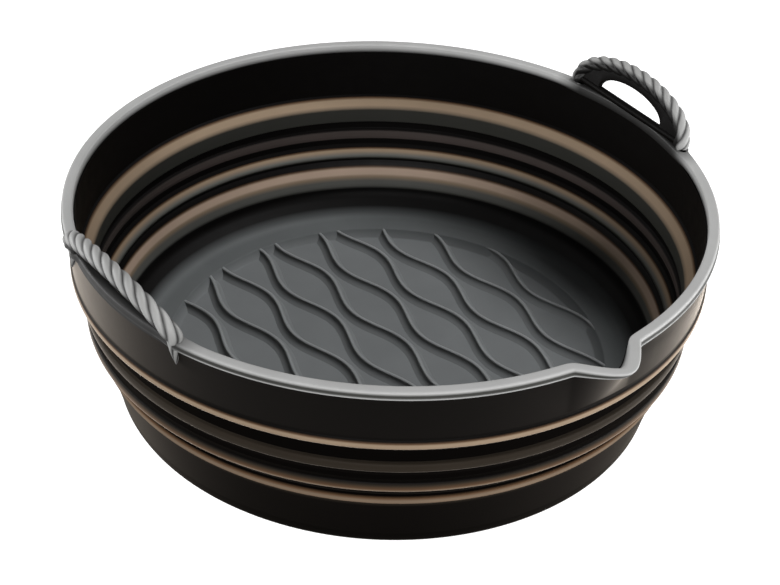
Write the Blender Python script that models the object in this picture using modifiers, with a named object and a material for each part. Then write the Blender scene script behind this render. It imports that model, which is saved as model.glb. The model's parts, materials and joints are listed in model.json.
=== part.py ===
"""Collapsible silicone air fryer liner: a round bowl with a pleated wall, wavy floor ribs,
a pouring spout and two rope-pattern loop handles.

Frame: origin at the centre of the underside, +Z up, handles on the X axis, spout towards -Y.
"""
import math

import bmesh
import bpy
from mathutils import Matrix, Vector

MM = 0.001

# Heights, from the underside up
FLOOR_THICKNESS = 1.2 * MM
BASE_HEIGHT = 23.6 * MM
LOWER_PLEAT_HEIGHT = 3.7 * MM
RING_HEIGHT = 3.9 * MM
MIDDLE_PLEAT_HEIGHT = 4.6 * MM
BAND_HEIGHT = 3.4 * MM
UPPER_PLEAT_HEIGHT = 5.5 * MM
WALL_HEIGHT = 18.1 * MM
LIP_HEIGHT = 3.2 * MM

# Radii and wall thicknesses
LIP_RADIUS = 103.2 * MM
LIP_OVERHANG = 1.0 * MM
WALL_TAPER = 0.7 * MM
WALL_THICKNESS = 3.5 * MM
WALL_BEAD_HEIGHT = 5.0 * MM
RING_THICKNESS = 2.6 * MM
BAND_OVERHANG = 0.8 * MM
PLEAT_THICKNESS = 2.4 * MM
PLEAT_DEPTH = 2.4 * MM
BASE_WALL_THICKNESS = 2.6 * MM
BASE_TAPER = 5.2 * MM
FOOT_CORNER = 4.4 * MM
FLOOR_CORNER = 8.0 * MM
BASE_BEAD_HEIGHT = 3.4 * MM
SHOULDER_STEP = 2.1 * MM
SHOULDER_DROP = 5.0 * MM

# Clearances
JOINT_GAP = 0.3 * MM
NEST_CLEARANCE = 0.5 * MM
SOCKET_CLEARANCE = 0.3 * MM
EDGE_ROUND = 0.9 * MM

# Floor ribs
RIB_COUNT = 12
RIB_WIDTH = 5.6 * MM
RIB_CREST = 1.2 * MM
RIB_HEIGHT = 2.5 * MM
RIB_WAVE_LENGTH = 48.0 * MM
RIB_NECK_GAP = 0.8 * MM
RIB_EDGE_MARGIN = 9.3 * MM

# Pouring spout
SPOUT_HALF_WIDTH = 12.0 * MM
SPOUT_REACH = 9.5 * MM
SPOUT_DROP = 11.0 * MM

# Rope handles
HANDLE_SPAN = 54.4 * MM
HANDLE_REACH = 13.2 * MM
LEFT_HANDLE_LEAN = math.radians(64.0)
RIGHT_HANDLE_LEAN = math.radians(75.0)
HANDLE_SWING = math.radians(2.6)
ROPE_RADIUS = 2.3 * MM
ROPE_LOBE = 0.4 * MM
ROPE_STRANDS = 3
ROPE_RIDGES = 13
PIVOT_INSET = 1.2 * MM
WEB_THICKNESS = 1.8 * MM
WEB_FOOT = 0.5 * MM
WEB_BAND = 1.5 * MM
FINGER_HOLE_WIDTH = 32.0 * MM
FINGER_HOLE_FOOT = 1.2 * MM

# Facets: one column of every turned ring spans half the spout, so the spout's edges fall on columns
TURN_STEPS = max(24, round(2.0 * math.pi * LIP_RADIUS / SPOUT_HALF_WIDTH))
RIB_STATION = RIB_WAVE_LENGTH / 8.0
ROPE_STATIONS = 78
ROPE_SIDES = 3 * ROPE_STRANDS
WEB_STEPS = 10

# Heights and radii that follow from the sizes above
RING_BOTTOM = BASE_HEIGHT + JOINT_GAP + LOWER_PLEAT_HEIGHT + JOINT_GAP
RING_TOP = RING_BOTTOM + RING_HEIGHT
BAND_BOTTOM = RING_TOP + JOINT_GAP + MIDDLE_PLEAT_HEIGHT + JOINT_GAP
BAND_TOP = BAND_BOTTOM + BAND_HEIGHT
WALL_BOTTOM = BAND_TOP + JOINT_GAP + UPPER_PLEAT_HEIGHT + JOINT_GAP
WALL_TOP = WALL_BOTTOM + WALL_HEIGHT
LIP_BOTTOM = WALL_TOP + JOINT_GAP
RIM_TOP = LIP_BOTTOM + LIP_HEIGHT

WALL_OUTER = LIP_RADIUS - LIP_OVERHANG
WALL_INNER = WALL_OUTER - WALL_THICKNESS
RING_OUTER = WALL_INNER - NEST_CLEARANCE
RING_INNER = RING_OUTER - RING_THICKNESS
BASE_OUTER = RING_INNER - NEST_CLEARANCE
BASE_INNER = BASE_OUTER - BASE_WALL_THICKNESS
BAND_OUTER = RING_OUTER + BAND_OVERHANG
BAND_INNER = BAND_OUTER - RING_THICKNESS
FOOT_RADIUS = BASE_OUTER - BASE_TAPER
BASE_SLOPE = BASE_TAPER / BASE_HEIGHT
RIB_FOOT = FLOOR_THICKNESS + JOINT_GAP
FLOOR_RING_TOP = RIB_FOOT + RIB_HEIGHT
FLOOR_WALL_LOW = FLOOR_RING_TOP + FLOOR_CORNER
FLOOR_RADIUS = FOOT_RADIUS + BASE_SLOPE * FLOOR_WALL_LOW - BASE_WALL_THICKNESS - FLOOR_CORNER
RIB_FIELD_RADIUS = FLOOR_RADIUS - RIB_EDGE_MARGIN
FIELD_EDGE = RIB_FIELD_RADIUS + JOINT_GAP
RIB_PITCH = 2.0 * RIB_FIELD_RADIUS / RIB_COUNT
RIB_WAVE_AMPLITUDE = (RIB_PITCH - RIB_WIDTH - RIB_NECK_GAP) / 2.0

ROPE_OUTER = ROPE_RADIUS + ROPE_LOBE
PIVOT_RADIUS = LIP_RADIUS - PIVOT_INSET
PIVOT_X = math.sqrt(PIVOT_RADIUS ** 2 - (HANDLE_SPAN / 2.0) ** 2)
PIVOT_Z = RIM_TOP + math.hypot(WEB_FOOT, WEB_THICKNESS / 2.0) + JOINT_GAP

# Silicone colours: linear red, green, blue
CHARCOAL = (0.018, 0.016, 0.014)
BRONZE = (0.075, 0.055, 0.042)
SLATE = (0.075, 0.078, 0.080)
RIM_GREY = (0.30, 0.30, 0.29)
ROPE_GREY = (0.20, 0.20, 0.195)


def clear_scene():
    for item in list(bpy.data.objects):
        bpy.data.objects.remove(item, do_unlink=True)


def new_collection(name):
    group = bpy.data.collections.new(name)
    bpy.context.scene.collection.children.link(group)
    return group


def silicone(name, colour, roughness):
    material = bpy.data.materials.new(name)
    material.use_nodes = True
    shader = material.node_tree.nodes["Principled BSDF"]
    shader.inputs["Base Color"].default_value = (*colour, 1.0)
    shader.inputs["Roughness"].default_value = roughness
    shader.inputs["Metallic"].default_value = 0.0
    return material


def arc(centre_radius, centre_height, radius, start, end, count):
    """Points of a circular arc in the profile plane, angles in degrees from +radius towards +Z."""
    points = []
    for index in range(count + 1):
        angle = math.radians(start + (end - start) * index / count)
        point = (centre_radius + radius * math.cos(angle), centre_height + radius * math.sin(angle))
        points.append(point)
    return points


def turned(name, profile, material):
    """Turn a (radius, height) profile about Z; it starts at -Y and runs down its outer side."""
    mesh = bpy.data.meshes.new(name)
    points = [(0.0, -radius, height) for radius, height in profile]
    edges = [(index, (index + 1) % len(points)) for index in range(len(points))]
    mesh.from_pydata(points, edges, [])
    piece = bpy.data.objects.new(name, mesh)
    PARTS.objects.link(piece)
    screw = piece.modifiers.new("Turn", "SCREW")
    screw.axis = "Z"
    screw.angle = 2.0 * math.pi
    screw.steps = TURN_STEPS
    screw.render_steps = TURN_STEPS
    screw.use_merge_vertices = True
    screw.merge_threshold = 0.00001
    screw.use_smooth_shade = True
    mesh.materials.append(material)
    return piece


def evaluated_mesh(piece):
    """A plain mesh of the piece as its modifiers or its curve settings shape it."""
    graph = bpy.context.evaluated_depsgraph_get()
    return bpy.data.meshes.new_from_object(piece.evaluated_get(graph))


def bake(piece):
    """Replace a mesh piece's mesh by its evaluated one and drop the modifiers."""
    mesh = evaluated_mesh(piece)
    piece.modifiers.clear()
    piece.data = mesh
    return piece


def pull_spout(piece):
    """Draw the front column of a turned ring outwards into the V of the spout."""
    half_angle = 2.0 * math.pi / TURN_STEPS
    for vertex in piece.data.vertices:
        x, y, z = vertex.co
        offset = abs(math.atan2(x, -y))
        across = max(0.0, 1.0 - offset / half_angle)
        upward = min(1.0, max(0.0, (z - (RIM_TOP - SPOUT_DROP)) / SPOUT_DROP))
        radius = math.hypot(x, y)
        scale = (radius + SPOUT_REACH * across * upward) / radius
        vertex.co = (x * scale, y * scale, z)
    return piece


def base_cup():
    """Floor and lower wall: a cup with a sunken rib field, a rounded foot and an inner shoulder."""
    bead_low = BASE_HEIGHT - BASE_BEAD_HEIGHT
    wall_low = FOOT_CORNER + JOINT_GAP
    shoulder_top = BASE_HEIGHT - EDGE_ROUND - JOINT_GAP
    shoulder_low = shoulder_top - SHOULDER_DROP
    outer = [
        (BASE_OUTER - EDGE_ROUND, BASE_HEIGHT),
        (BASE_OUTER, BASE_HEIGHT - EDGE_ROUND),
        (BASE_OUTER, bead_low + EDGE_ROUND),
        (BASE_OUTER - EDGE_ROUND, bead_low),
        (FOOT_RADIUS, wall_low),
    ]
    foot = arc(FOOT_RADIUS - FOOT_CORNER, FOOT_CORNER, FOOT_CORNER, 0.0, -90.0, 3)
    floor = [(0.0, 0.0), (0.0, FLOOR_THICKNESS)]
    step = [(FIELD_EDGE, FLOOR_THICKNESS), (FIELD_EDGE, FLOOR_RING_TOP)]
    corner = arc(FLOOR_RADIUS, FLOOR_WALL_LOW, FLOOR_CORNER, -90.0, -10.0, 4)
    inner = [
        (BASE_INNER - SHOULDER_STEP, shoulder_low),
        (BASE_INNER, shoulder_top),
        (BASE_INNER, BASE_HEIGHT),
    ]
    material = silicone("base_silicone", SLATE, 0.55)
    profile = inner[-1:] + outer + foot + floor + step + corner + inner[:-1]
    return turned("base_cup", profile, material)


def pleat(name, low, high, low_radii, high_radii, crest, material):
    """A thin fold that bulges inwards between two thicker rings; radii are (inner, outer) pairs."""
    middle = (low + high) / 2.0
    flat = (high - low) * 0.22
    groove = crest + PLEAT_THICKNESS
    profile = [
        (high_radii[1], high),
        (groove, middle + flat),
        (groove, middle - flat),
        (low_radii[1], low),
        (low_radii[0], low),
        (crest, middle - flat),
        (crest, middle + flat),
        (high_radii[0], high),
    ]
    return turned(name, profile, material)


def hoop(name, bottom, top, inner, outer, material):
    """A thicker ring of the wall, rounded on its outer face."""
    profile = [
        (outer - EDGE_ROUND, top),
        (outer, top - EDGE_ROUND),
        (outer, bottom + EDGE_ROUND),
        (outer - EDGE_ROUND, bottom),
        (inner, bottom),
        (inner, top),
    ]
    return turned(name, profile, material)


def pleated_wall():
    """The collapsible part of the wall: three inward folds with a ring and a band between them."""
    dark = silicone("pleat_silicone", CHARCOAL, 0.5)
    bronze = silicone("ring_silicone", BRONZE, 0.5)
    base_radii = (BASE_INNER, BASE_OUTER - EDGE_ROUND)
    ring_radii = (RING_INNER, RING_OUTER - EDGE_ROUND)
    band_radii = (BAND_INNER, BAND_OUTER - EDGE_ROUND)
    wall_radii = (WALL_INNER, WALL_OUTER - WALL_TAPER - EDGE_ROUND)
    pleat("pleat_lower", BASE_HEIGHT + JOINT_GAP, RING_BOTTOM - JOINT_GAP,
          base_radii, ring_radii, BASE_INNER - JOINT_GAP, dark)
    hoop("fold_ring", RING_BOTTOM, RING_TOP, RING_INNER, RING_OUTER, bronze)
    pleat("pleat_middle", RING_TOP + JOINT_GAP, BAND_BOTTOM - JOINT_GAP,
          ring_radii, band_radii, RING_INNER - PLEAT_DEPTH, dark)
    hoop("fold_band", BAND_BOTTOM, BAND_TOP, BAND_INNER, BAND_OUTER, bronze)
    pleat("pleat_upper", BAND_TOP + JOINT_GAP, WALL_BOTTOM - JOINT_GAP,
          band_radii, wall_radii, BAND_INNER - PLEAT_DEPTH, dark)


def upper_wall():
    """The tall top tier, with a bead round its lower edge and the spout drawn out of its front."""
    low_outer = WALL_OUTER - WALL_TAPER
    bead_top = WALL_BOTTOM + WALL_BEAD_HEIGHT
    bead_peak = WALL_BOTTOM + WALL_BEAD_HEIGHT / 2.0
    spout_foot = RIM_TOP - SPOUT_DROP
    profile = [
        (WALL_OUTER, WALL_TOP),
        (low_outer, max(spout_foot, bead_top)),
        (low_outer, bead_top),
        (low_outer + EDGE_ROUND / 2.0, bead_peak),
        (low_outer - EDGE_ROUND, WALL_BOTTOM),
        (WALL_INNER, WALL_BOTTOM),
        (WALL_INNER, spout_foot),
        (WALL_INNER, WALL_TOP),
    ]
    if spout_foot <= bead_top:
        profile.pop(1)
    material = silicone("wall_silicone", CHARCOAL, 0.5)
    return pull_spout(bake(turned("upper_wall", profile, material)))


def handle_turn(side):
    """The turn about Z that takes a handle from +X to its place, a little towards the spout."""
    return Matrix.Rotation(-HANDLE_SWING if side > 0 else math.pi + HANDLE_SWING, 4, "Z")


def pivot_points():
    return [handle_turn(side) @ Vector((PIVOT_X, end * HANDLE_SPAN / 2.0, PIVOT_Z))
            for side in (-1, 1) for end in (-1, 1)]


def rim_lip():
    """The rolled rim, with four round seats in its outer edge for the ends of the handles."""
    profile = [
        (LIP_RADIUS - EDGE_ROUND, RIM_TOP),
        (LIP_RADIUS, RIM_TOP - EDGE_ROUND),
        (LIP_RADIUS, LIP_BOTTOM + EDGE_ROUND),
        (LIP_RADIUS - EDGE_ROUND, LIP_BOTTOM),
        (WALL_INNER, LIP_BOTTOM),
        (WALL_INNER, RIM_TOP - EDGE_ROUND),
        (WALL_INNER + EDGE_ROUND, RIM_TOP),
    ]
    lip = turned("rim_lip", profile, silicone("rim_silicone", RIM_GREY, 0.5))
    pull_spout(bake(lip))
    seat_radius = ROPE_OUTER + SOCKET_CLEARANCE
    for number, point in enumerate(pivot_points(), start=1):
        mesh = bpy.data.meshes.new(f"handle_seat_{number}")
        ball = bmesh.new()
        bmesh.ops.create_uvsphere(ball, u_segments=16, v_segments=10, radius=seat_radius)
        ball.to_mesh(mesh)
        ball.free()
        cutter = bpy.data.objects.new(f"handle_seat_{number}", mesh)
        cutter.location = point
        cutter.hide_render = True
        cutter.display_type = "WIRE"
        CUTTERS.objects.link(cutter)
        cut = lip.modifiers.new(f"Seat {number}", "BOOLEAN")
        cut.operation = "DIFFERENCE"
        cut.object = cutter
    return lip


def section_curve(name, points):
    """A closed 2D outline that sweeps use as their cross-section, wound so that their faces point out."""
    data = bpy.data.curves.new(name, "CURVE")
    data.dimensions = "2D"
    spline = data.splines.new("POLY")
    spline.points.add(len(points) - 1)
    for target, (x, y) in zip(spline.points, reversed(points)):
        target.co = (x, y, 0.0, 1.0)
    spline.use_cyclic_u = True
    outline = bpy.data.objects.new(name, data)
    outline.hide_render = True
    outline.display_type = "WIRE"
    CUTTERS.objects.link(outline)
    return outline


def sweep(name, points, section, material, tilts=None, sizes=None, upright=False):
    """A solid swept along a path of points, with an optional tilt and size at each of them."""
    data = bpy.data.curves.new(name, "CURVE")
    data.dimensions = "3D"
    data.twist_mode = "Z_UP" if upright else "MINIMUM"
    data.bevel_mode = "OBJECT"
    data.bevel_object = section
    data.use_fill_caps = True
    spline = data.splines.new("POLY")
    spline.points.add(len(points) - 1)
    for index, point in enumerate(points):
        target = spline.points[index]
        target.co = (*point, 1.0)
        target.tilt = tilts[index] if tilts else 0.0
        target.radius = sizes[index] if sizes else 1.0
    piece = bpy.data.objects.new(name, data)
    data.materials.append(material)
    PARTS.objects.link(piece)
    return piece


def rib_half_length(distance):
    """How far a rib runs until its inner side has left the round field, and one station more."""
    inner_side = abs(distance) - RIB_WAVE_AMPLITUDE - RIB_WIDTH / 2.0
    return math.sqrt(RIB_FIELD_RADIUS ** 2 - inner_side ** 2) + RIB_STATION


def rib_outline():
    """A rib's section: a narrow crest on flanks that hollow out towards a wide foot."""
    flank = []
    for index in range(4):
        rise = index / 3
        spread = (1.0 - rise) ** 2
        half = (RIB_CREST + (RIB_WIDTH - RIB_CREST) * spread) / 2.0
        flank.append((half, RIB_HEIGHT * rise))
    return flank + [(-half, height) for half, height in reversed(flank)]


def rib_field():
    """A hidden disc that trims the ribs to their round field."""
    mesh = bpy.data.meshes.new("rib_field")
    disc = bmesh.new()
    bmesh.ops.create_cone(disc, cap_ends=True, segments=TURN_STEPS, radius1=RIB_FIELD_RADIUS,
                          radius2=RIB_FIELD_RADIUS, depth=4.0 * RIB_HEIGHT)
    disc.to_mesh(mesh)
    disc.free()
    field = bpy.data.objects.new("rib_field", mesh)
    field.location.z = FLOOR_RING_TOP
    field.hide_render = True
    field.display_type = "WIRE"
    CUTTERS.objects.link(field)
    return field


def floor_ribs():
    """Wavy ribs along Y, cut round by the field; neighbours wave in opposite phase round almond cells."""
    section = section_curve("rib_section", rib_outline())
    material = silicone("rib_silicone", SLATE, 0.55)
    field = rib_field()
    for number in range(1, RIB_COUNT + 1):
        place = (number - (RIB_COUNT + 1) / 2.0) * RIB_PITCH
        sign = 1.0 if number % 2 else -1.0
        half_length = rib_half_length(place)
        stations = max(4, round(2.0 * half_length / RIB_STATION))
        path = []
        for index in range(stations + 1):
            y = half_length * (2.0 * index / stations - 1.0)
            wave = RIB_WAVE_AMPLITUDE * math.cos(2.0 * math.pi * y / RIB_WAVE_LENGTH)
            path.append((place + sign * wave, y, RIB_FOOT))
        name = f"wave_rib_{number:02d}"
        strip = sweep(f"{name}_strip", path, section, material, upright=True)
        rib = bpy.data.objects.new(name, evaluated_mesh(strip))
        bpy.data.objects.remove(strip)
        PARTS.objects.link(rib)
        cut = rib.modifiers.new("Field edge", "BOOLEAN")
        cut.operation = "INTERSECT"
        cut.object = field


def rope_path():
    """The rope's arch in the handle's own plane, as (along the span, out from the pivot, size)."""
    half_span = HANDLE_SPAN / 2.0
    end = []
    for share in (0.96, 0.8, 0.45):
        end.append((half_span, -ROPE_OUTER * share, math.sqrt(1.0 - share ** 2)))
    arch = []
    for index in range(ROPE_STATIONS + 1):
        angle = math.pi * index / ROPE_STATIONS
        arch.append((half_span * math.cos(angle), HANDLE_REACH * math.sin(angle), 1.0))
    far_end = [(-along, out, size) for along, out, size in reversed(end)]
    return end + arch + far_end


def quarter_ellipse(half_width, height, foot, middle):
    """Points up an elliptic edge from its foot to where it meets the middle line."""
    last = math.acos(middle / half_width)
    points = []
    for index in range(WEB_STEPS + 1):
        angle = last * index / WEB_STEPS
        points.append((half_width * math.cos(angle), foot + (height - foot) * math.sin(angle)))
    return points


def handle_web(label, place, toward, pivot):
    """Half of the flat plate inside the rope's arch, with its half of the finger hole."""
    inset = ROPE_OUTER + JOINT_GAP
    half_width = HANDLE_SPAN / 2.0 - inset
    top = HANDLE_REACH - inset
    middle = JOINT_GAP / 2.0
    edge = quarter_ellipse(half_width, top, 0.0, middle)
    hole = quarter_ellipse(FINGER_HOLE_WIDTH / 2.0, top - WEB_BAND, FINGER_HOLE_FOOT, middle)
    bar = [(middle, FINGER_HOLE_FOOT), (middle, -WEB_FOOT), (half_width, -WEB_FOOT)]
    outline = edge + hole[::-1] + bar
    data = bpy.data.curves.new(f"{label}_handle_web_{place}", "CURVE")
    data.dimensions = "2D"
    data.fill_mode = "BOTH"
    data.extrude = WEB_THICKNESS / 2.0
    spline = data.splines.new("POLY")
    spline.points.add(len(outline) - 1)
    for target, (along, out) in zip(spline.points, outline):
        target.co = (out, toward * along, 0.0, 1.0)
    spline.use_cyclic_u = True
    data.materials.append(silicone(f"{label}_web_{place}_silicone", CHARCOAL, 0.5))
    web = bpy.data.objects.new(f"{label}_handle_web_{place}", data)
    PARTS.objects.link(web)
    web.parent = pivot


def handle_rope(label, pivot):
    """The rope-pattern loop: a lobed section that twists as it follows the arch."""
    lobes = []
    for index in range(ROPE_SIDES):
        angle = 2.0 * math.pi * index / ROPE_SIDES
        radius = ROPE_RADIUS + ROPE_LOBE * math.cos(ROPE_STRANDS * angle)
        lobes.append((radius * math.cos(angle), radius * math.sin(angle)))
    section = section_curve(f"{label}_rope_section", lobes)
    path = rope_path()
    points = [(out, along, 0.0) for along, out, size in path]
    sizes = [size for along, out, size in path]
    step = 2.0 * math.pi * ROPE_RIDGES / ROPE_STRANDS / (len(path) - 1)
    tilts = [step * index for index in range(len(path))]
    grey = silicone(f"{label}_rope_silicone", ROPE_GREY, 0.5)
    rope = sweep(f"{label}_handle_rope", points, section, grey, tilts, sizes)
    rope.parent = pivot


def handle(label, side, lean):
    """A loop and its plate, carried by an empty on the line that they bend about."""
    pivot = bpy.data.objects.new(f"{label}_handle_pivot", None)
    tilt = Matrix.Rotation(-lean, 4, "Y")
    pivot.matrix_world = handle_turn(side) @ Matrix.Translation((PIVOT_X, 0.0, PIVOT_Z)) @ tilt
    PARTS.objects.link(pivot)
    handle_rope(label, pivot)
    handle_web(label, "front", -side, pivot)
    handle_web(label, "back", side, pivot)


clear_scene()
PARTS = new_collection("silicone_air_fryer_liner")
CUTTERS = new_collection("cutters")
base_cup()
floor_ribs()
pleated_wall()
upper_wall()
rim_lip()
handle("left", -1, LEFT_HANDLE_LEAN)
handle("right", 1, RIGHT_HANDLE_LEAN)
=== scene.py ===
"""Looks of a round collapsible silicone liner: smooth turned walls, wavy floor ribs and rope loops.

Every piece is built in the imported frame's own coordinates, in metres, and stands for the nodes it covers,
apart from the four rope ends on the lip, which are trim.
"""
import json
import math

import bmesh
import bpy
import numpy as np
from mathutils import Matrix, Vector


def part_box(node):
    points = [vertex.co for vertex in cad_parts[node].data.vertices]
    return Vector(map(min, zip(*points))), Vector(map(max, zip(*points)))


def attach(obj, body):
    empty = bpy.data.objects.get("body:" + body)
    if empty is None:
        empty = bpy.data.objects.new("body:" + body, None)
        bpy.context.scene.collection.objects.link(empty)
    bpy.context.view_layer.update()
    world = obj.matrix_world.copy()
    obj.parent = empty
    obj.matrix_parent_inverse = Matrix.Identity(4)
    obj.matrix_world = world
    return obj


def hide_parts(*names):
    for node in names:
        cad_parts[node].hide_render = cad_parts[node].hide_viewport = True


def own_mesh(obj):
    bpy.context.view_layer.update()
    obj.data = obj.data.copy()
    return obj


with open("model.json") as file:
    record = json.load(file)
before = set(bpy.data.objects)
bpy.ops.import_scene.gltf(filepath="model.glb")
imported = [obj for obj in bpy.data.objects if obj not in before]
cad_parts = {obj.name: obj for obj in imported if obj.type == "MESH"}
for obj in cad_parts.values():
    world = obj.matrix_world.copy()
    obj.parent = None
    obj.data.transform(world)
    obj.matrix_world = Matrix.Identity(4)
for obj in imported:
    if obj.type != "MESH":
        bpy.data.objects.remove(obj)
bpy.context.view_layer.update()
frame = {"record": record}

MM = 0.001

# Frame sizes: the turned nodes are round, so their reach along +Y is their outer radius
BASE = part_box("base_cup")
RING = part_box("fold_ring")
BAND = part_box("fold_band")
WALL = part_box("upper_wall")
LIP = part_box("rim_lip")
RIB_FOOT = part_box("wave_rib_06")[0].z
RIB_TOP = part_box("wave_rib_06")[1].z
RIM_TOP = LIP[1].z

# Walls
WALL_THICKNESS = 3.0 * MM
LIP_WIDTH = 4.5 * MM
LIP_SLIM = 0.9 * MM
LIP_FADE = math.radians(1.5)
RING_THICKNESS = 2.6 * MM
BAND_DROP = 1.1 * MM
FOLD_CLEARANCE = 0.15 * MM
FOLD_THICKNESS = 1.05 * MM
BASE_TAPER = 5.2 * MM
FOOT_ROUND = 4.4 * MM
FLOOR_ROUND = 8.0 * MM
FLOOR_RADIUS = 81.9 * MM
FIELD_RADIUS = 72.6 * MM
FIELD_SLOPE = 2.0 * MM
OVERLAP = 0.5 * MM
SHOULDER_LOW = (89.5 * MM, 14.6 * MM)
SHOULDER_HIGH = (90.2 * MM, 18.2 * MM)
STEP_LOW = 22.4 * MM
STEP_HIGH = 23.2 * MM
LOWER_FOLD_BEND = 25.4 * MM

# Spout
SPOUT_REACH = 9.5 * MM
SPOUT_SLOPE = 1.1
SPOUT_TIP = 3.2 * MM
SPOUT_CORNER = 0.5 * MM
SPOUT_DROP = 11.0 * MM
SPOUT_SPREAD = 22.0 * MM
SPOUT_MARGIN = 1.02

# Floor ribs
RIB_COUNT = 12
RIB_WIDTH = 5.6 * MM
RIB_CREST = 1.1 * MM
RIB_WAVE_LENGTH = 48.0 * MM
RIB_STEP = 1.0 * MM
RIB_REACH_STEP = 0.02 * MM
RIB_FLANK_STEPS = 9
RIB_HOLLOW = 2.2
RIB_TIP = 0.45
RIB_RISE = 1.06
RIB_SINK = 0.1 * MM

# Rope loops
HANDLE_SPAN = 54.4 * MM
HANDLE_REACH = 11.8 * MM
HANDLE_SHIFT = {"left": 0.6 * MM, "right": 1.4 * MM}
HANDLE_LEAN = {"left": math.radians(64.0), "right": math.radians(75.0)}
HANDLE_SWING = math.radians(2.6)
PLATE_ARC = math.radians(14.6)
PLATE_FADE = math.radians(6.0)
# Painted shadow on the lip between a loop's feet: the share of its colour that is left
PLATE_SHADOW = 0.05
ROPE_RADIUS = 2.7 * MM
STRAND_OFFSET = 1.2 * MM
ROPE_STRANDS = 4
ROPE_RIDGES = 13
ROPE_STATIONS = 300
ROPE_SIDES = 54
ROPE_END_STEPS = 8
ROPE_END_START = 0.08
ROPE_END_TIP = 0.99
# Painted shade on the rope: dark creases between the strands and a dark inner side
CREASE_FADE = 1.9
CREASE_TONE = 0.06
INNER_WIDTH = 0.5
TAIL_DROP = 7.5 * MM
TAIL_ARC = math.radians(1.0)
TAIL_RADIUS = 2.2 * MM
TAIL_STATIONS = 25
TAIL_TUCK = 1.2 * MM
TAIL_SEAT = 0.4 * MM
TAIL_TWIST = 5.0
TAIL_END = 1.02
TAIL_TAPER = 0.7
TAIL_GROOVE = 0.15
TAIL_SHADE = 0.6
WEB_THICKNESS = 1.8 * MM
WEB_EDGE = 0.35 * MM
WEB_BAND = 1.5 * MM
WEB_GAP = 0.3 * MM
WEB_SINK = 0.9 * MM
WEB_TUCK = 0.6
WEB_STEPS = 49
WEB_BEVEL_STEPS = 2
HOLE_WIDTH = 32.0 * MM
HOLE_FOOT = 1.2 * MM
ROOT_RADIUS = 1.37 * MM
ROOT_SIDES = 20

# Camera, fitted to the photograph's rim, rings and foot
IMAGE_WIDTH = 780.0
FOCAL_PIXELS = 1634.72
SENSOR = 36.0
CAMERA_AZIMUTH = math.radians(-37.0)
CAMERA_ELEVATION = math.radians(31.7267)
CAMERA_DISTANCE = 0.518823
CAMERA_PAN = math.radians(-0.0907)
CAMERA_TILT = math.radians(-3.6461)
CAMERA_ROLL = math.radians(-2.56)

# Colours, linear
# Painted light: the rim's top, painted lighter than the dark silicone where the top light falls on it
RIM_LIT_GREY = (0.255, 0.255, 0.252)
# The rope's grey; on the rim it also paints the thin highlight line at the lip's edge
ROPE_GREY = (0.2, 0.2, 0.197)
# Floor greys: the silicone's grey, painted lighter on the up-facing floor as lit, so partly painted light
SLATE = (0.096, 0.102, 0.104)
FIELD_SLATE = (0.135, 0.142, 0.145)
# Painted highlight along the ribs' crests
RIB_CREST_LIGHT = (0.19, 0.198, 0.2)
# Near black, far darker than the charcoal silicone: painted shade on the unlit walls, in grooves and
# creases and on the lip between a loop's feet; also the loop plates' colour
INK = (0.0012, 0.001, 0.0009)
CHARCOAL = (0.016, 0.016, 0.014)
# Painted light: lit grey faces inside the folds and on the inner shoulder
ASH = (0.08, 0.08, 0.073)
UMBER = (0.014, 0.011, 0.008)
TAUPE = (0.031, 0.025, 0.023)
# Painted highlights: browns on the beads and shoulders that catch the light, EARTH at their darker edges,
# TAN the brightest
EARTH = (0.055, 0.031, 0.017)
DRAB = (0.11, 0.08, 0.056)
BRONZE = (0.175, 0.13, 0.09)
TAN = (0.28, 0.21, 0.16)

# Finish of the silicone: roughness, shine and sheen, then its mottling, gloss and grain
MATTE = 0.5
SATIN = 0.45
NO_SHINE = 0.0
WALL_SHINE = 0.02
INSIDE_SHINE = 0.03
FLOOR_SHINE = 0.06
FULL_SHINE = 0.2
SHEEN_ROUGHNESS = 0.32
WALL_SHEEN = 0.58
RING_SHEEN = 0.38
FOLD_SHEEN = 0.4
FOOT_SHEEN = 0.13
SHEEN_TINT = (1.0, 0.88, 0.76, 1.0)
MOTTLE_SCALE = 55.0
MOTTLE_DETAIL = 4.0
MOTTLE_DARK = 0.86
MOTTLE_LIGHT = 1.14
GLOSS_SCALE = 240.0
GLOSS_DETAIL = 3.0
GLOSS_SPREAD = 0.08
GRAIN_SCALE = 2200.0
GRAIN_DETAIL = 2.0
GRAIN_STRENGTH = 0.12
GRAIN_DEPTH = 0.05 * MM
# Name of the mesh attribute that carries painted shade and shadow
TONE = "tone"

# Studio; a lamp has a name, a place and a target seen from the camera (right, back, up), a size and a power
STUDIO_SIZE = 6.0
FLOOR_BOUNCE = (0.1, 0.1, 0.1, 1.0)
FLOOR_SEEN = (0.5, 0.5, 0.5, 1.0)
FLOOR_GLOW = 0.85
WORLD_LEVEL = 0.04
WHITE = (1.0, 1.0, 1.0, 1.0)
LAMPS = [
    ("key_overhead", (0.36, 0.2, 0.8), (0.0, 0.0, 0.03), (0.3, 0.3), 7.5),
    ("front_fill", (0.0, -0.9, 0.3), (0.0, 0.0, 0.04), (0.8, 0.12), 13.0),
    ("left_strip", (-0.5, 0.05, 0.15), (0.0, 0.0, 0.04), (0.5, 0.1), 3.2),
    ("right_strip", (0.5, -0.1, 0.03), (0.0, 0.0, 0.04), (0.5, 0.05), 3.8)]

# Mesh fineness
ARC_STEPS = 6
ARC_ROOM = 0.49
WELD = 0.001 * MM
COLUMNS = 240
SPOUT_COLUMNS = 90
SHARP_ANGLE = math.radians(50.0)


def noise(tree, place, scale, detail):
    """A noise over the piece's own coordinates, from 0 to 1."""
    texture = tree.nodes.new("ShaderNodeTexNoise")
    texture.inputs["Scale"].default_value = scale
    texture.inputs["Detail"].default_value = detail
    tree.links.new(place, texture.inputs["Vector"])
    return texture.outputs["Fac"]


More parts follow.
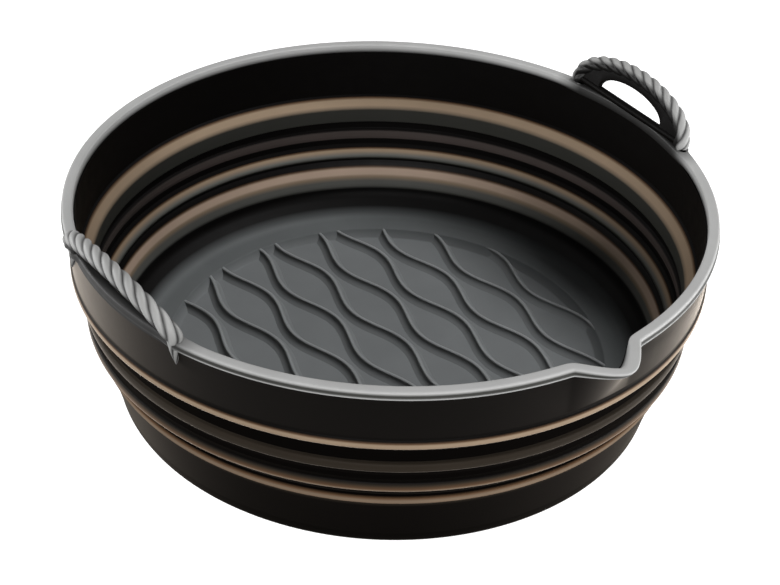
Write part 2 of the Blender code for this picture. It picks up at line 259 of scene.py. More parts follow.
def between(tree, share, low, high):
    """A share from 0 to 1, turned into a value between two levels."""
    level = tree.nodes.new("ShaderNodeMapRange")
    level.inputs["To Min"].default_value = low
    level.inputs["To Max"].default_value = high
    tree.links.new(share, level.inputs["Value"])
    return level.outputs["Result"]


def either(tree, first, second):
    """One where either ray test is one."""
    test = tree.nodes.new("ShaderNodeMath")
    test.operation = "MAXIMUM"
    tree.links.new(first, test.inputs[0])
    tree.links.new(second, test.inputs[1])
    return test.outputs["Value"]


def silicone(name, stops, roughness, specular, sheen=0.0, toned=False):
    """Moulded silicone: colour by height, faint mottling, and a fine skin of bump and gloss noise.

    The stops are (height, colour) pairs, painting highlights and shade in bands; one stop gives the same
    colour at every height. A toned skin also takes the mesh's own tone, painted shade that darkens its
    creases and shaded parts.
    """
    material = bpy.data.materials.new(name)
    material.use_nodes = True
    tree = material.node_tree
    shader = tree.nodes["Principled BSDF"]
    shader.inputs["Specular IOR Level"].default_value = specular
    shader.inputs["Sheen Weight"].default_value = sheen
    shader.inputs["Sheen Roughness"].default_value = SHEEN_ROUGHNESS
    shader.inputs["Sheen Tint"].default_value = SHEEN_TINT
    place = tree.nodes.new("ShaderNodeTexCoord").outputs["Object"]

    heights = [height for height, colour in stops]
    span = max(heights[-1] - heights[0], MM)
    split = tree.nodes.new("ShaderNodeSeparateXYZ")
    tree.links.new(place, split.inputs["Vector"])
    level = tree.nodes.new("ShaderNodeMapRange")
    level.inputs["From Min"].default_value = heights[0]
    level.inputs["From Max"].default_value = heights[0] + span
    tree.links.new(split.outputs["Z"], level.inputs["Value"])
    ramp = tree.nodes.new("ShaderNodeValToRGB")
    elements = ramp.color_ramp.elements
    elements.remove(elements[1])
    for number, (height, colour) in enumerate(stops):
        share = (height - heights[0]) / span
        element = elements[0] if number == 0 else elements.new(share)
        element.position = share
        element.color = (*colour, 1.0)
    tree.links.new(level.outputs["Result"], ramp.inputs["Fac"])

    mottle = noise(tree, place, MOTTLE_SCALE, MOTTLE_DETAIL)
    tint = tree.nodes.new("ShaderNodeMix")
    tint.data_type = "RGBA"
    tint.blend_type = "MULTIPLY"
    tint.inputs["Factor"].default_value = 1.0
    tree.links.new(ramp.outputs["Color"], tint.inputs["A"])
    tree.links.new(between(tree, mottle, MOTTLE_DARK, MOTTLE_LIGHT), tint.inputs["B"])
    colour = tint.outputs["Result"]
    # Painted shade and shadow: the tone mixes the colour towards INK
    if toned:
        tone = tree.nodes.new("ShaderNodeAttribute")
        tone.attribute_name = TONE
        painted_shade = tree.nodes.new("ShaderNodeMix")
        painted_shade.data_type = "RGBA"
        painted_shade.inputs["A"].default_value = (*INK, 1.0)
        tree.links.new(tone.outputs["Fac"], painted_shade.inputs["Factor"])
        tree.links.new(colour, painted_shade.inputs["B"])
        colour = painted_shade.outputs["Result"]
    tree.links.new(colour, shader.inputs["Base Color"])

    gloss = noise(tree, place, GLOSS_SCALE, GLOSS_DETAIL)
    rough = between(tree, gloss, roughness - GLOSS_SPREAD, roughness + GLOSS_SPREAD)
    tree.links.new(rough, shader.inputs["Roughness"])

    bump = tree.nodes.new("ShaderNodeBump")
    bump.inputs["Strength"].default_value = GRAIN_STRENGTH
    bump.inputs["Distance"].default_value = GRAIN_DEPTH
    tree.links.new(noise(tree, place, GRAIN_SCALE, GRAIN_DETAIL), bump.inputs["Height"])
    tree.links.new(bump.outputs["Normal"], shader.inputs["Normal"])
    return material


def rounded(corners):
    """An open outline with its inner corners turned into arcs; a corner is (radius, height, arc size)."""
    points = []
    for index, (radius, height, size) in enumerate(corners):
        here = Vector((radius, height))
        if size == 0.0 or index in (0, len(corners) - 1):
            points.append(here)
            continue
        back = Vector(corners[index - 1][:2]) - here
        ahead = Vector(corners[index + 1][:2]) - here
        room = ARC_ROOM * min(back.length, ahead.length)
        reach = min(size / math.tan(back.angle(ahead) / 2.0), room)
        start = here + back.normalized() * reach
        end = here + ahead.normalized() * reach
        for step in range(ARC_STEPS + 1):
            share = step / ARC_STEPS
            rest = 1.0 - share
            points.append(start * rest ** 2 + here * 2.0 * share * rest + end * share ** 2)
    return points


def turn_angles(with_spout):
    """Angles from the spout's middle at -Y, closer together along the spout."""
    angles = np.linspace(-math.pi, math.pi, COLUMNS, endpoint=False)
    if not with_spout:
        return angles
    spread = SPOUT_SPREAD / LIP[1].y
    fine = np.linspace(-spread, spread, SPOUT_COLUMNS + 1)
    return np.sort(np.concatenate([angles[np.abs(angles) > spread * SPOUT_MARGIN], fine]))


def spout_pull(angles, middle_radius):
    """How far the spout draws each column out, and that distance's change with the angle."""
    half_width = SPOUT_REACH / SPOUT_SLOPE + SPOUT_TIP
    across = angles * middle_radius
    bow = np.sqrt(across ** 2 + SPOUT_TIP ** 2)
    flank = SPOUT_SLOPE * (half_width - bow)
    soft = np.sqrt(flank ** 2 + 4.0 * SPOUT_CORNER ** 2)
    pull = 0.5 * (flank + soft)
    change = 0.5 * (1.0 + flank / soft) * -SPOUT_SLOPE * across / bow * middle_radius
    return pull, change


def turned(name, outer, inner, materials, with_spout=False):
    """Turn an outline about Z: down its outer side, in the first material, then up its inner side."""
    outline = np.array([tuple(point) for point in outer + inner])
    angles = turn_angles(with_spout)
    middle = (outline[:, 0].max() + outline[:, 0].min()) / 2.0 if with_spout else 0.0
    radial = np.repeat(outline[None, :, 0], len(angles), axis=0)
    aside = np.zeros_like(radial)
    heights = np.repeat(outline[None, :, 1], len(angles), axis=0)
    if with_spout:
        pull, change = spout_pull(angles, middle)
        share = np.clip((heights - (RIM_TOP - SPOUT_DROP)) / SPOUT_DROP, 0.0, 1.0)
        path = middle + pull[:, None] * share
        slope = change[:, None] * share
        length = np.hypot(path, slope)
        offset = radial - middle
        radial = path + offset * path / length
        aside = -offset * slope / length
    sine, cosine = np.sin(angles)[:, None], np.cos(angles)[:, None]
    x = radial * sine + aside * cosine
    y = -radial * cosine + aside * sine
    count = len(outline)
    points = np.stack([x, y, heights], axis=2).reshape(-1, 3)
    faces = []
    inside = []
    for column in range(len(angles)):
        here, there = column * count, (column + 1) % len(angles) * count
        for row in range(count):
            below = (row + 1) % count
            faces.append((here + row, here + below, there + below, there + row))
            inside.append(int(row >= len(outer)))
    mesh = bpy.data.meshes.new(name)
    mesh.from_pydata(points.tolist(), [], faces)
    mesh.polygons.foreach_set("material_index", inside)
    return finished(name, mesh, materials)


def finished(name, mesh, materials):
    """Close a mesh's seams, point its faces outwards, shade it smooth and make it an object."""
    solid = bmesh.new()
    solid.from_mesh(mesh)
    bmesh.ops.remove_doubles(solid, verts=solid.verts, dist=WELD)
    bmesh.ops.dissolve_degenerate(solid, edges=solid.edges, dist=WELD)
    bmesh.ops.recalc_face_normals(solid, faces=solid.faces)
    solid.to_mesh(mesh)
    solid.free()
    mesh.shade_smooth()
    mesh.set_sharp_from_angle(angle=SHARP_ANGLE)
    for material in materials:
        mesh.materials.append(material)
    piece = bpy.data.objects.new(name, mesh)
    bpy.context.collection.objects.link(piece)
    return piece


def dress(piece, body, slot, *nodes):
    """Tie a piece to its body and hide the nodes that it stands for; the slot is not used."""
    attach(piece, body)
    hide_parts(*nodes)


def base():
    """Floor and lower wall, with the foot's roll, the bead at the top and the shoulder inside."""
    top, radius = BASE[1].z, BASE[1].y
    foot = radius - BASE_TAPER
    inner_top = radius - RING_THICKNESS
    outer = rounded([
        (radius - 1.2 * MM, top + OVERLAP, 0.0),
        (radius - 0.9 * MM, top, 0.4 * MM),
        (radius, top - 0.7 * MM, 0.8 * MM),
        (radius, top - 2.6 * MM, 0.8 * MM),
        (radius - 1.3 * MM, top - 3.4 * MM, 0.6 * MM),
        (foot, FOOT_ROUND, 6.0 * MM),
        (foot - 0.8 * MM, 0.0, FOOT_ROUND),
        (0.0, 0.0, 0.0)])
    inner = rounded([
        (0.0, RIB_FOOT, 0.0),
        (FIELD_RADIUS - 0.5 * MM, RIB_FOOT, 1.0 * MM),
        (FIELD_RADIUS + FIELD_SLOPE, RIB_TOP, 1.0 * MM),
        (FLOOR_RADIUS, RIB_TOP, 6.0 * MM),
        (FLOOR_RADIUS + FLOOR_ROUND - 0.8 * MM, RIB_TOP + FLOOR_ROUND - 1.5 * MM, 6.0 * MM),
        (*SHOULDER_LOW, 2.0 * MM),
        (*SHOULDER_HIGH, 2.0 * MM),
        (inner_top - 0.2 * MM, STEP_LOW, 0.6 * MM),
        (inner_top + 0.3 * MM, STEP_HIGH, 0.3 * MM),
        (inner_top + 0.3 * MM, top + OVERLAP, 0.0)])
    # Near black as painted shade, with a painted highlight band on the bead at the top
    skin = silicone("lower_wall_skin", [
        (0.0, INK), (18.4 * MM, INK), (20.0 * MM, UMBER), (20.6 * MM, EARTH), (21.4 * MM, DRAB),
        (22.1 * MM, DRAB), (22.9 * MM, EARTH), (23.4 * MM, INK)], MATTE, NO_SHINE, sheen=FOOT_SHEEN)
    # The floor's grey, painted lighter as lit; painted shade darkening up the corner and lower wall; a
    # painted highlight on the shoulder and painted shade at the step above it
    floor = silicone("floor_skin", [
        (RIB_FOOT, FIELD_SLATE), (RIB_FOOT + 0.5 * MM, FIELD_SLATE), (RIB_TOP - 0.3 * MM, SLATE),
        (RIB_TOP + 0.6 * MM, SLATE), (7.4 * MM, INK), (12.8 * MM, INK), (14.0 * MM, ASH), (16.0 * MM, ASH),
        (17.4 * MM, BRONZE), (18.6 * MM, TAN), (20.3 * MM, TAN), (21.0 * MM, EARTH), (21.5 * MM, INK)],
        MATTE, FLOOR_SHINE)
    piece = turned("base_shell", outer, inner, [skin, floor])
    dress(piece, "base", "base_silicone", "base_cup")


def lower_fold(outer_skin, inner_skin):
    """The fold between the base's bead and the ring, riding with the base."""
    low, high = BASE[1].z - OVERLAP, RING[0].z + OVERLAP
    base_radius, ring_radius = BASE[1].y, RING[1].y
    crest = base_radius - RING_THICKNESS - 0.3 * MM
    outer = rounded([
        (ring_radius - 2.1 * MM, high, 0.0),
        (crest + 2.0 * MM, high - 1.4 * MM, 0.8 * MM),
        (crest + 2.0 * MM, low + 1.4 * MM, 0.8 * MM),
        (base_radius - 1.2 * MM, low, 0.0)])
    inner = rounded([
        (base_radius - RING_THICKNESS + 0.5 * MM, low, 0.0),
        (crest, low + 1.6 * MM, 0.5 * MM),
        (crest + 0.4 * MM, LOWER_FOLD_BEND, 0.5 * MM),
        (ring_radius - RING_THICKNESS - 0.1 * MM, high + 0.6 * MM, 0.0)])
    piece = turned("lower_fold", outer, inner, [outer_skin, inner_skin])
    dress(piece, "base", "pleat_silicone", "pleat_lower")
    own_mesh(piece)


def hoop(name, box, drop, skins, body, node):
    """A thicker ring of the wall, full and round on its outer face, which may sag by a drop."""
    low, high, radius = box[0].z - drop, box[1].z - drop, box[1].y
    outer = rounded([
        (radius - 1.6 * MM, high, 0.0),
        (radius - 0.1 * MM, high - 0.2 * MM, 0.9 * MM),
        (radius, (low + high) / 2.0, 1.5 * MM),
        (radius - 0.1 * MM, low + 0.2 * MM, 0.9 * MM),
        (radius - 1.6 * MM, low, 0.0)])
    inner = rounded([
        (radius - RING_THICKNESS, low, 0.0),
        (radius - RING_THICKNESS, high, 0.0)])
    piece = turned(name, outer, inner, skins)
    dress(piece, body, "ring_silicone", node)
    return piece


def upper_folds(outer_skin, inner_skin):
    """The folds below and above the band, riding with the ring."""
    ring_top, band_low, band_high = RING[1].z, BAND[0].z, BAND[1].z
    ring_radius, band_radius, wall_radius = RING[1].y, BAND[1].y, WALL[1].y
    ring_inner, band_inner = ring_radius - RING_THICKNESS, band_radius - RING_THICKNESS
    wall_inner = wall_radius - WALL_THICKNESS
    crest = BASE[1].y + FOLD_CLEARANCE

    outer = rounded([
        (band_radius - 1.2 * MM, band_low - 0.6 * MM, 0.0),
        (crest + FOLD_THICKNESS, band_low - 2.5 * MM, 0.6 * MM),
        (crest + FOLD_THICKNESS, ring_top + 1.2 * MM, 0.6 * MM),
        (ring_radius - 1.2 * MM, ring_top - OVERLAP, 0.0)])
    inner = rounded([
        (ring_inner - 0.1 * MM, ring_top - OVERLAP, 0.0),
        (crest, ring_top + 0.5 * MM, 0.3 * MM),
        (crest + 0.1 * MM, band_low - 2.7 * MM, 0.4 * MM),
        (band_inner - 0.1 * MM, band_low - 1.7 * MM, 0.3 * MM),
        (band_inner - 0.1 * MM, band_low + 0.3 * MM, 0.0)])
    middle = turned("middle_fold", outer, inner, [outer_skin, inner_skin])
    dress(middle, "ring", "pleat_silicone", "pleat_middle")
    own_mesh(middle)

    outer = rounded([
        (wall_radius - 2.0 * MM, WALL[0].z + OVERLAP, 0.0),
        (band_inner, WALL[0].z - 2.4 * MM, 1.0 * MM),
        (band_inner, band_high + 1.6 * MM, 1.0 * MM),
        (band_radius - 1.2 * MM, band_high - BAND_DROP - OVERLAP, 0.0)])
    inner = rounded([
        (band_inner - 0.1 * MM, band_low + 0.9 * MM, 0.0),
        (crest, band_low + 1.4 * MM, 0.5 * MM),
        (crest + 0.25 * MM, WALL[0].z - 2.6 * MM, 1.5 * MM),
        (wall_inner + 0.2 * MM, WALL[0].z + 1.6 * MM, 0.0)])
    upper = turned("upper_fold", outer, inner, [outer_skin, inner_skin])
    dress(upper, "ring", "pleat_silicone", "pleat_upper")
    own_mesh(upper)


def top_tier():
    """The tall tier: a bead round its lower edge, a slight flare, and the spout drawn out of its front."""
    low, high, radius = WALL[0].z, WALL[1].z, WALL[1].y
    waist = radius - 0.9 * MM
    inner_radius = radius - WALL_THICKNESS
    outer = rounded([
        (radius, high + OVERLAP, 0.0),
        (waist, low + 4.2 * MM, 3.0 * MM),
        (waist + 0.1 * MM, low + 3.5 * MM, 0.4 * MM),
        (waist + 0.6 * MM, low + 2.9 * MM, 0.6 * MM),
        (waist + 0.6 * MM, low + 0.5 * MM, 1.2 * MM),
        (waist - 1.2 * MM, low, 0.0)])
    inner = rounded([
        (inner_radius + 0.4 * MM, low, 0.0),
        (inner_radius, low + 1.6 * MM, 0.6 * MM),
        (inner_radius, high + OVERLAP, 0.0)])
    # A painted highlight band on the bead at the tier's foot; the wall above near black as painted shade
    skin = silicone("top_tier_skin", [
        (low, UMBER), (low + 0.4 * MM, EARTH), (low + 1.0 * MM, BRONZE), (low + 2.1 * MM, BRONZE),
        (low + 2.7 * MM, EARTH), (low + 3.2 * MM, INK), (high, INK)], SATIN, WALL_SHINE, sheen=WALL_SHEEN)
    # The inner wall near black: painted shade
    inside = silicone("top_tier_inside", [(low, INK)], MATTE, INSIDE_SHINE)
    piece = turned("top_tier", outer, inner, [skin, inside], with_spout=True)
    dress(piece, "upper", "wall_silicone", "upper_wall")


def rim():
    """The rolled lip, slimmer away from the loops, its top painted light, with a thin painted highlight
    line at the edge that stops between their feet, where the lip takes painted shadow.
    """
    low, high, radius = LIP[0].z, LIP[1].z, LIP[1].y
    inner_radius = radius - LIP_WIDTH + LIP_SLIM
    crown = radius - 2.0 * MM
    flush = WALL[1].y
    line = high - 2.2 * MM
    outer = rounded([
        (crown, high, 0.0),
        (radius - 0.1 * MM, high, 1.5 * MM),
        (radius, line + 0.5 * MM, 0.2 * MM),
        (radius + 0.2 * MM, line + 0.2 * MM, 0.2 * MM),
        (radius + 0.2 * MM, line - 0.2 * MM, 0.2 * MM),
        (flush, line - 0.4 * MM, 0.2 * MM),
        (flush, low, 0.0)])
    inner = rounded([
        (inner_radius, low, 0.0),
        (inner_radius, high, 2.2 * MM),
        (crown, high, 0.0)])
    # Painted light and shade: the top light grey where light falls, a thin painted highlight line at the
    # lip's edge, near black below as painted shade
    skin = silicone("rim_skin", [
        (low, INK), (line - 0.35 * MM, INK), (line - 0.15 * MM, ROPE_GREY), (line + 0.15 * MM, ROPE_GREY),
        (line + 0.4 * MM, CHARCOAL), (line + 1.1 * MM, CHARCOAL), (high - 0.3 * MM, RIM_LIT_GREY),
        (high, RIM_LIT_GREY)], MATTE, FULL_SHINE, toned=True)
    # Painted light at the inner edge's top, falling to painted shade down the inside
    inside = silicone("rim_inside_skin", [
        (low, INK), (high - 2.9 * MM, INK), (high - 1.2 * MM, RIM_LIT_GREY), (high, RIM_LIT_GREY)],
        MATTE, FULL_SHINE, toned=True)
    piece = turned("rim", outer, inner, [skin, inside], with_spout=True)
    # Painted shadow: the tone darkens the lip towards INK between each loop's feet, where the loop and
    # plate cast their shadow
    tone = piece.data.attributes.new(TONE, "FLOAT", "POINT")
    for vertex in piece.data.vertices:
        spread = min(abs(handle_angle(vertex.co, side)) for side in (-1, 1))
        fade = (spread - PLATE_ARC) / PLATE_FADE
        tone.data[vertex.index].value = min(1.0, max(PLATE_SHADOW, fade))
        trim = min(1.0, max(0.0, (PLATE_ARC - spread) / LIP_FADE))
        reach = math.hypot(vertex.co.x, vertex.co.y)
        moved = reach
        if reach > flush:
            moved = reach - trim * (reach - flush)
        elif reach < crown:
            widen = LIP_SLIM * (1.0 - min(1.0, max(0.0, fade)))
            moved = reach - widen * (crown - reach) / (crown - inner_radius)
        vertex.co.x *= moved / reach
        vertex.co.y *= moved / reach
    dress(piece, "upper", "rim_silicone", "rim_lip")


def handle_angle(point, side):
    """The angle about Z from the middle of one of the loops to a point."""
    return math.atan2(point.y, side * point.x) + HANDLE_SWING


def swept(name, rings, materials, tones=None):
    """Skin a row of closed outlines, each an array of points, and close both ends."""
    count = len(rings[0])
    faces = []
    for station in range(len(rings) - 1):
        here, there = station * count, (station + 1) * count
        for side in range(count):
            after = (side + 1) % count
            faces.append((here + side, here + after, there + after, there + side))
    last = (len(rings) - 1) * count
    faces.append(tuple(range(count)))
    faces.append(tuple(range(last, last + count)))
    mesh = bpy.data.meshes.new(name)
    mesh.from_pydata(np.concatenate(rings).tolist(), [], faces)
    if tones is not None:
        mesh.attributes.new(TONE, "FLOAT", "POINT").data.foreach_set("value", np.concatenate(tones))
    return finished(name, mesh, materials)


def rib_section():
    """Half-widths and heights up one flank and down the other: a wide hollow foot, a narrow crest."""
    rise = np.linspace(0.0, 1.0, RIB_FLANK_STEPS)
    half = (RIB_CREST + (RIB_WIDTH - RIB_CREST) * (1.0 - rise) ** RIB_HOLLOW) / 2.0
    half[-1] *= RIB_TIP
    foot = RIB_FOOT - RIB_SINK
    height = foot + (RIB_TOP - foot) * np.minimum(rise * RIB_RISE, 1.0)
    return np.concatenate([half, -half[::-1]]), np.concatenate([height, height[::-1]])


def rib_line(middle, amplitude, across, run):
    """Points beside a rib's wave, by their distance across the wave and their run along it from x = 0."""
    angle = 2.0 * math.pi / RIB_WAVE_LENGTH
    lean = -amplitude * angle * np.sin(angle * run)
    normal = 1.0 / np.hypot(1.0, lean)
    x = middle + amplitude * np.cos(angle * run) + across * normal
    return x, run - across * lean * normal


def rib_reach(middle, amplitude, across):
    """How far each line along a rib runs until it meets the round edge of the field."""
    runs = np.arange(0.0, FIELD_RADIUS + RIB_WAVE_LENGTH, RIB_REACH_STEP)
    reaches = []
    for offset in across:
        x, y = rib_line(middle, amplitude, offset, runs)
        outside = np.hypot(x, y) > FIELD_RADIUS + FIELD_SLOPE
        reaches.append(runs[np.argmax(outside)])
    return np.array(reaches)


def ribs():
    """The wavy ribs on their nodes' places, cut by the round edge of the sunken field."""
    # Painted highlight along each crest
    skin = silicone("rib_skin", [
        (RIB_FOOT, FIELD_SLATE), (RIB_TOP - 0.9 * MM, FIELD_SLATE), (RIB_TOP - 0.3 * MM, RIB_CREST_LIGHT)],
        SATIN, FULL_SHINE)
    across, heights = rib_section()
    low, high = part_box("wave_rib_06")
    half_pitch = abs(low.x + high.x) / 2.0
    depth = (high.x - low.x - RIB_WIDTH) / 2.0
    for number in range(1, RIB_COUNT + 1):
        middle = (2 * number - RIB_COUNT - 1) * half_pitch
        amplitude = depth if number % 2 else -depth
        reach = rib_reach(middle, amplitude, across)
        rings = []
        for share in np.linspace(-1.0, 1.0, round(2.0 * reach.max() / RIB_STEP)):
            x, y = rib_line(middle, amplitude, across, reach * share)
            rings.append(np.stack([x, y, heights], axis=1))
        node = f"wave_rib_{number:02d}"
        piece = swept(node + "_crest", rings, [skin])
        dress(piece, "base", "rib_silicone", node)


def rope_rings(place):
    """Outlines of the twisted strands along the arch, and their tones: painted shade in the creases and on
    the inner side.
    """
    strand = ROPE_RADIUS - STRAND_OFFSET
    half_span = HANDLE_SPAN / 2.0
    route = []
    for share in np.linspace(ROPE_END_TIP, ROPE_END_START, ROPE_END_STEPS):
        route.append((half_span, -ROPE_RADIUS * share, math.sqrt(1.0 - share ** 2), (0.0, 1.0)))
    for angle in np.linspace(0.0, math.pi, ROPE_STATIONS):
        along, out = half_span * math.cos(angle), HANDLE_REACH * math.sin(angle)
        heading = Vector((-half_span * math.sin(angle), HANDLE_REACH * math.cos(angle))).normalized()
        route.append((along, out, 1.0, tuple(heading)))
    for share in np.linspace(ROPE_END_START, ROPE_END_TIP, ROPE_END_STEPS):
        route.append((-half_span, -ROPE_RADIUS * share, math.sqrt(1.0 - share ** 2), (0.0, -1.0)))
    sides = 2.0 * math.pi * np.arange(ROPE_SIDES) / ROPE_SIDES
    sector = 2.0 * math.pi / ROPE_STRANDS
    length = 0.0
    lengths = [0.0]
    for before, after in zip(route, route[1:]):
        length += math.hypot(after[0] - before[0], after[1] - before[1])
        lengths.append(length)
    rings = []
    tones = []
    for (along, out, size, heading), travelled in zip(route, lengths):
        twist = -sector * ROPE_RIDGES * travelled / length
        off = (sides + twist + sector / 2.0) % sector - sector / 2.0
        radius = STRAND_OFFSET * np.cos(off) + np.sqrt(strand ** 2 - (STRAND_OFFSET * np.sin(off)) ** 2)
        radius *= size
        outward = np.cos(sides) * radius
        ring = [place @ Vector((out + heading[0] * -a, along + heading[1] * a, b))
                for a, b in zip(outward, np.sin(sides) * radius)]
        rings.append(np.array(ring))
        # Painted shade: dark in the creases between strands and on the loop's inner side
        ridge = np.clip(CREASE_FADE * (1.0 - np.abs(off) / (sector / 2.0)), CREASE_TONE, 1.0)
        tones.append(ridge * np.clip(np.cos(sides) / INNER_WIDTH, 0.0, 1.0))
    return rings, tones


def rope_tail(name, side, end, skin):
    """A rope's end that tapers to a point where it runs out over the lip and down the wall."""
    pivot_radius = LIP[1].y - LIP_WIDTH
    foot = math.atan2(HANDLE_SPAN / 2.0, pivot_radius)
    around = 2.0 * math.pi * np.arange(ROPE_SIDES) / ROPE_SIDES
    rings = []
    tones = []
    for share in np.linspace(0.0, 1.0, TAIL_STATIONS):
        angle = end * (foot + share * TAIL_ARC) - HANDLE_SWING
        ahead = Vector((side * math.cos(angle), math.sin(angle), 0.0))
        beside = Vector((0.0, 0.0, 1.0)).cross(ahead)
        depth = TAIL_TUCK * (1.0 - share) + TAIL_SEAT
        middle = ahead * (LIP[1].y - depth) + Vector((0.0, 0.0, RIM_TOP - TAIL_DROP * share))
        ridge = 0.5 + 0.5 * np.cos(ROPE_STRANDS * around + TAIL_TWIST * share)
        radius = TAIL_RADIUS * (TAIL_END - share) ** TAIL_TAPER * (1.0 - TAIL_GROOVE * (1.0 - ridge))
        ring = [middle + ahead * a + beside * b
                for a, b in zip(radius * np.cos(around), radius * np.sin(around))]
        rings.append(np.array(ring))
        # Painted shade: dark creases, and darker towards the tip down the wall
        tones.append(np.clip(CREASE_FADE * ridge, CREASE_TONE, 1.0) * (1.0 - TAIL_SHADE * share))
    piece = swept(name, rings, [skin], tones)
    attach(piece, "upper")


def web_outline(half_width, height, foot, base_line):
    """An elliptic arch over a straight foot, as points (out, along)."""
    points = []
    for angle in np.linspace(0.0, math.pi, WEB_STEPS):
        points.append((foot + (height - foot) * math.sin(angle), half_width * math.cos(angle)))
    if base_line is not None:
        points = [(base_line, half_width)] + points + [(base_line, -half_width)]
    return points


def web(name, place, skin):
    """The flat plate inside the loop, with the finger hole, on a rounded root along the pivot."""
    inset = WEB_TUCK * ROPE_RADIUS
    top = HANDLE_REACH - inset
    data = bpy.data.curves.new(name, "CURVE")
    data.dimensions = "2D"
    data.fill_mode = "BOTH"
    data.extrude = WEB_THICKNESS / 2.0 - WEB_EDGE
    data.bevel_depth = WEB_EDGE
    data.bevel_resolution = WEB_BEVEL_STEPS
    data.offset = -WEB_EDGE
    hole_top = HANDLE_REACH - ROPE_RADIUS - WEB_BAND - WEB_GAP
    for outline in (web_outline(HANDLE_SPAN / 2.0 - inset, top, 0.0, -WEB_SINK),
                    web_outline(HOLE_WIDTH / 2.0, hole_top, HOLE_FOOT, None)):
        spline = data.splines.new("POLY")
        spline.points.add(len(outline) - 1)
        for point, (out, along) in zip(spline.points, outline):
            point.co = (out, along, 0.0, 1.0)
        spline.use_cyclic_u = True
    shape = bpy.data.objects.new(name, data)
    bpy.context.collection.objects.link(shape)
    bpy.context.view_layer.update()
    plate = bpy.data.meshes.new_from_object(shape.evaluated_get(bpy.context.evaluated_depsgraph_get()))
    bpy.data.objects.remove(shape)
    both = bmesh.new()
    both.from_mesh(plate)
    lying = Matrix.Rotation(math.pi / 2.0, 4, "X")
    bmesh.ops.create_cone(both, cap_ends=True, segments=ROOT_SIDES, radius1=ROOT_RADIUS,
                          radius2=ROOT_RADIUS, depth=HANDLE_SPAN - 2.0 * inset, matrix=lying)
    mesh = bpy.data.meshes.new(name)
    both.to_mesh(mesh)
    both.free()
    mesh.transform(place)
    mesh.materials.clear()
    return finished(name, mesh, [skin])


def handle(label, side):
    """A rope loop and its plate, leaning as photographed and set at the frame's bend pivot."""
    joints = {joint["name"]: joint for joint in frame["record"]["behaviour"]["joints"]}
    pivot = Vector(joints[f"{label}_handle_bend"]["pos_m"])
    turn = Matrix.Rotation(-HANDLE_SWING if side > 0 else math.pi + HANDLE_SWING, 4, "Z")
    slide = Matrix.Translation((0.0, HANDLE_SHIFT[label], 0.0))
    place = Matrix.Translation(pivot) @ turn @ slide @ Matrix.Rotation(-HANDLE_LEAN[label], 4, "Y")
    body = f"{label}_handle"
    # The rope's grey, darkened by its tone: painted shade in the creases and on the inner side
    rope_skin = silicone(f"{label}_rope_skin", [(RIM_TOP, ROPE_GREY)], MATTE, FULL_SHINE, toned=True)
    web_skin = silicone(f"{label}_web_skin", [(RIM_TOP, INK)], MATTE, INSIDE_SHINE)
    rings, tones = rope_rings(place)
    rope = swept(f"{label}_rope_loop", rings, [rope_skin], tones)
    dress(rope, body, "rope_silicone", f"{label}_handle_rope")
    for end, word in ((-1, "front"), (1, "back")):
        rope_tail(f"{label}_rope_tail_{word}", side, end, rope_skin)
    plate = web(f"{label}_loop_plate", place, web_skin)
    dress(plate, body, "web_silicone", f"{label}_handle_web_front", f"{label}_handle_web_back")


def studio_floor():
    """A pale floor that shows white to the camera and keeps the shadow."""
    bpy.ops.mesh.primitive_plane_add(size=STUDIO_SIZE, location=(0.0, 0.0, 0.0))
    floor = bpy.context.object
    floor.name = "studio_floor"
    material = bpy.data.materials.new("studio_floor_white")
    material.use_nodes = True
    tree = material.node_tree
    tree.nodes.clear()
    out = tree.nodes.new("ShaderNodeOutputMaterial")
    rays = tree.nodes.new("ShaderNodeLightPath").outputs
    matte = tree.nodes.new("ShaderNodeBsdfDiffuse")
    pale = tree.nodes.new("ShaderNodeMix")
    pale.data_type = "RGBA"
    pale.inputs["A"].default_value = FLOOR_BOUNCE
    pale.inputs["B"].default_value = FLOOR_SEEN
    tree.links.new(rays["Is Camera Ray"], pale.inputs["Factor"])
    tree.links.new(pale.outputs["Result"], matte.inputs["Color"])
    seen = either(tree, rays["Is Camera Ray"], rays["Is Glossy Ray"])
    glow = tree.nodes.new("ShaderNodeEmission")
    tree.links.new(between(tree, seen, 0.0, FLOOR_GLOW), glow.inputs["Strength"])
    both = tree.nodes.new("ShaderNodeAddShader")
    tree.links.new(matte.outputs["BSDF"], both.inputs[0])
    tree.links.new(glow.outputs["Emission"], both.inputs[1])
    tree.links.new(both.outputs["Shader"], out.inputs["Surface"])
    floor.data.materials.append(material)


def studio_world():
    """A background that is white where it is seen and faint as a light."""
    world = bpy.data.worlds.new("studio_world")
    bpy.context.scene.world = world
    world.use_nodes = True
    tree = world.node_tree
    background = tree.nodes["Background"]
    background.inputs["Color"].default_value = WHITE
    rays = tree.nodes.new("ShaderNodeLightPath").outputs
    direct = either(tree, rays["Is Camera Ray"], rays["Is Glossy Ray"])
    seen = either(tree, direct, rays["Is Transmission Ray"])
    tree.links.new(between(tree, seen, WORLD_LEVEL, 1.0), background.inputs["Strength"])


def lamp(name, place, target, size, power):
    """A soft box, aimed from its place at its target."""
    data = bpy.data.lights.new(name, "AREA")
    data.shape = "RECTANGLE"
    data.size, data.size_y = size
    data.energy = power
    light = bpy.data.objects.new(name, data)
    bpy.context.collection.objects.link(light)
    around = Matrix.Rotation(CAMERA_AZIMUTH, 4, "Z")
    light.location = around @ Vector(place)
    aim = around @ Vector(target) - light.location
    light.rotation_euler = aim.to_track_quat("-Z", "Y").to_euler()


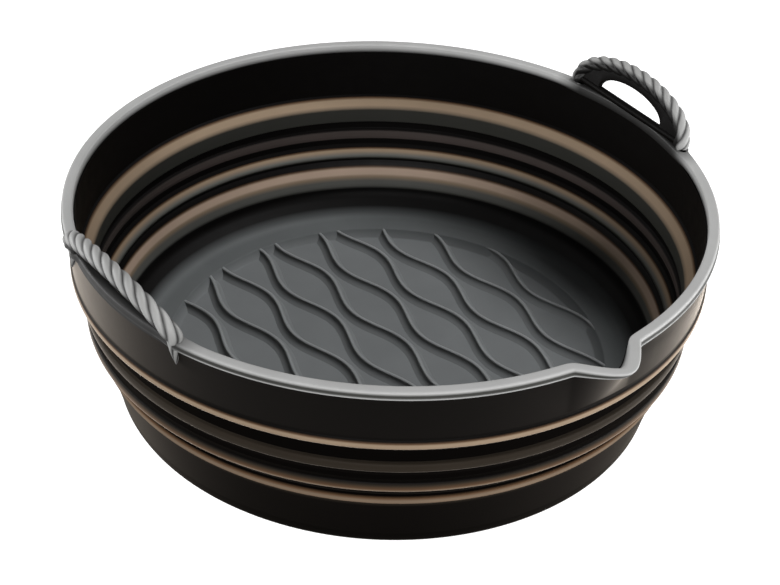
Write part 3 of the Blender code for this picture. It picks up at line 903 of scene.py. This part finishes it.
def camera():
    """The photograph's camera, turned about the middle of the rim."""
    data = bpy.data.cameras.new("photo_camera")
    data.sensor_fit = "HORIZONTAL"
    data.sensor_width = SENSOR
    data.lens = FOCAL_PIXELS * SENSOR / IMAGE_WIDTH
    eye = bpy.data.objects.new("photo_camera", data)
    bpy.context.collection.objects.link(eye)
    around = Matrix.Rotation(CAMERA_AZIMUTH, 4, "Z")
    down = Matrix.Rotation(math.pi / 2.0 - CAMERA_ELEVATION, 4, "X")
    back = Vector((0.0, 0.0, CAMERA_DISTANCE))
    centre = Matrix.Translation((0.0, 0.0, RIM_TOP))
    pan = Matrix.Rotation(CAMERA_PAN, 4, "Y")
    tilt = Matrix.Rotation(CAMERA_TILT, 4, "X")
    roll = Matrix.Rotation(-CAMERA_ROLL, 4, "Z")
    eye.matrix_world = centre @ around @ down @ Matrix.Translation(back) @ pan @ tilt @ roll
    bpy.context.scene.camera = eye


bpy.context.scene.view_settings.view_transform = "Standard"

# Near black outside the folds: painted shade in the grooves between the beads
FOLD_OUTSIDE = silicone("fold_outside_skin", [(24.0 * MM, INK)], MATTE, NO_SHINE, sheen=FOLD_SHEEN)
# Inside the folds, colour by height paints lit and dark bands: painted highlights on the shoulders that
# face up, painted shade in the grooves
FOLD_INSIDE = silicone("fold_inside_skin", [
    (23.9 * MM, INK), (24.6 * MM, CHARCOAL), (25.6 * MM, ASH), (26.7 * MM, BRONZE), (27.1 * MM, BRONZE),
    (27.5 * MM, EARTH), (27.9 * MM, INK), (30.9 * MM, INK), (31.4 * MM, TAUPE), (34.1 * MM, TAUPE),
    (34.7 * MM, INK), (37.9 * MM, INK), (38.7 * MM, CHARCOAL), (43.2 * MM, CHARCOAL), (44.8 * MM, BRONZE),
    (46.3 * MM, BRONZE), (46.9 * MM, EARTH), (47.3 * MM, INK)], MATTE, INSIDE_SHINE)
# A painted highlight on the ring's bead, painted shade in the groove above it, and the band's mid-brown
# face
RING_OUTSIDE = silicone("ring_outside_skin", [
    (27.9 * MM, EARTH), (28.3 * MM, DRAB), (28.7 * MM, DRAB), (29.2 * MM, EARTH), (30.6 * MM, UMBER),
    (31.4 * MM, INK), (34.0 * MM, INK), (36.0 * MM, UMBER), (40.4 * MM, UMBER)],
    SATIN, WALL_SHINE, sheen=RING_SHEEN)

base()
ribs()
lower_fold(FOLD_OUTSIDE, FOLD_INSIDE)
hoop("fold_ring_bead", RING, 0.0, [RING_OUTSIDE, FOLD_INSIDE], "ring", "fold_ring")
band = hoop("fold_band_bead", BAND, BAND_DROP, [RING_OUTSIDE, FOLD_INSIDE], "ring", "fold_band")
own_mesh(band)
upper_folds(FOLD_OUTSIDE, FOLD_INSIDE)
top_tier()
rim()
handle("left", -1)
handle("right", 1)
studio_floor()
studio_world()
for settings in LAMPS:
    lamp(*settings)
camera()
